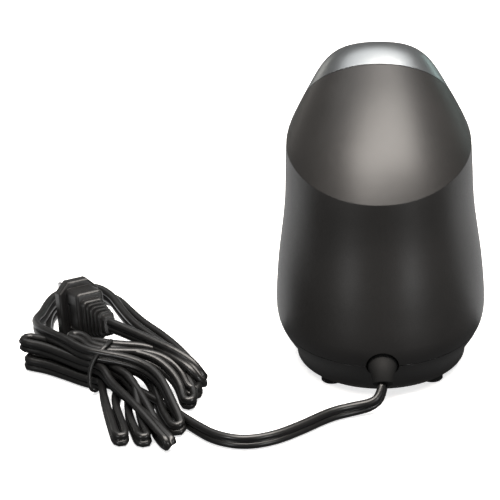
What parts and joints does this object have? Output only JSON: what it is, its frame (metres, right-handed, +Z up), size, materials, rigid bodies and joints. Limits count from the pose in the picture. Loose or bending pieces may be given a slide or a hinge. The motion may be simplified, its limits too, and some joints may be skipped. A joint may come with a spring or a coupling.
{
  "type": "electric pencil sharpener",
  "caption": "Upright mains-powered pencil sharpener with a waisted black body, bright domed cap, front shavings drawer and a tied two-core lead.",
  "frame": {"origin": "centre of the rectangle that the object covers, on the surface its feet stand on", "axes": "+Z up, +Y out of the rear where the lead leaves, -Y out of the front with the drawer and pencil hole"},
  "size_m": [0.2159, 0.1673, 0.1458],
  "materials": {
    "black_shell": "satin moulded",
    "silver_cap": "metallic satin",
    "black_trim": "moulded",
    "rubber": "matte",
    "smoke": "smoked clear plastic",
    "steel": "turned",
    "hard_steel": "hardened",
    "brass": "turned",
    "gear_white": "acetal",
    "board_green": "laminate",
    "component_black": "moulded",
    "magnet": "sintered",
    "copper": "enamelled",
    "cord_black": "extruded",
    "wire_grey": "extruded"
  },
  "bodies": {
    "housing": {"body_shell": "black_shell", "face_cap": "silver_cap", "entry_bezel": "black_trim", "base_tray": "black_shell", "rubber_feet": "rubber", "base_screws": "steel", "cutter_frame": "black_trim", "ring_gear": "black_trim", "gear_plate_upper": "steel", "gear_plate_lower": "steel", "plate_posts": "steel", "plate_screws": "steel", "head_bushes": "brass", "idler_shaft": "steel", "drive_bracket": "black_trim", "rectifier_board": "board_green", "board_components": "component_black", "motor_can": "steel", "motor_end_cap": "black_trim", "motor_bushes": "brass", "motor_magnets": "magnet", "motor_brushes": "copper", "start_switch": "component_black", "lever_pin": "steel", "drawer_switch": "component_black", "internal_leads": "wire_grey", "strain_relief": "rubber", "supply_cord": "cord_black", "cord_hank": "cord_black", "twist_tie": "cord_black", "plug_body": "cord_black", "plug_blades": "steel"},
    "cutter_head": {"cutter_carrier": "gear_white", "cutter_pins": "hard_steel", "carrier_gear": "gear_white"},
    "left_cutter": {"cutter_a": "hard_steel", "planet_gear_a": "gear_white"},
    "right_cutter": {"cutter_b": "hard_steel", "planet_gear_b": "gear_white"},
    "idler": {"reduction_gear": "gear_white"},
    "rotor": {"motor_pinion": "brass", "motor_shaft": "steel", "rotor_core": "steel", "rotor_windings": "copper", "commutator": "copper"},
    "drawer": {"drawer_front": "smoke", "shavings_bin": "smoke"},
    "lever": {"start_lever": "black_trim"},
    "interlock": {"switch_plunger": "gear_white"}
  },
  "joints": [
    {"name": "head_spin", "type": "hinge", "parent": "housing", "child": "cutter_head", "pos_m": [0, -0.0143, 0.10505], "axis": [0, -0.565, 0.8251], "continuous": true},
    {"name": "left_cutter_spin", "type": "hinge", "parent": "cutter_head", "child": "left_cutter", "pos_m": [0.0105, -0.02504, 0.12073], "axis": [0.1681, -0.5569, 0.8134], "continuous": true},
    {"name": "right_cutter_spin", "type": "hinge", "parent": "cutter_head", "child": "right_cutter", "pos_m": [-0.0105, -0.02504, 0.12073], "axis": [-0.1681, -0.5569, 0.8134], "continuous": true},
    {"name": "idler_spin", "type": "hinge", "parent": "housing", "child": "idler", "pos_m": [0.02002, 0.00756, 0.09094], "axis": [0, -0.565, 0.8251], "continuous": true},
    {"name": "rotor_spin", "type": "hinge", "parent": "housing", "child": "rotor", "pos_m": [0, 0.0255, 0.07171], "axis": [0, -0.565, 0.8251], "continuous": true},
    {"name": "drawer_slide", "type": "slide", "parent": "housing", "child": "drawer", "axis": [0, -1, 0], "range_m": [0, 0.05]},
    {"name": "lever_tilt", "type": "hinge", "parent": "housing", "child": "lever", "pos_m": [0, -0.02521, 0.13443], "axis": [1, 0, 0], "range_deg": [0, 12], "stiffness_Nm_per_rad": 0.002, "springref_deg": -5.73},
    {"name": "interlock_press", "type": "slide", "parent": "housing", "child": "interlock", "axis": [0, 1, 0], "range_m": [0, 0.0015], "stiffness_N_per_m": 150, "springref_m": -0.001}
  ],
  "couplings": [
    {"joint": "left_cutter_spin", "follows": "head_spin", "ratio": -3.5},
    {"joint": "right_cutter_spin", "follows": "head_spin", "ratio": -3.5},
    {"joint": "idler_spin", "follows": "head_spin", "ratio": -3.6667},
    {"joint": "rotor_spin", "follows": "head_spin", "ratio": 17.111}
  ]
}
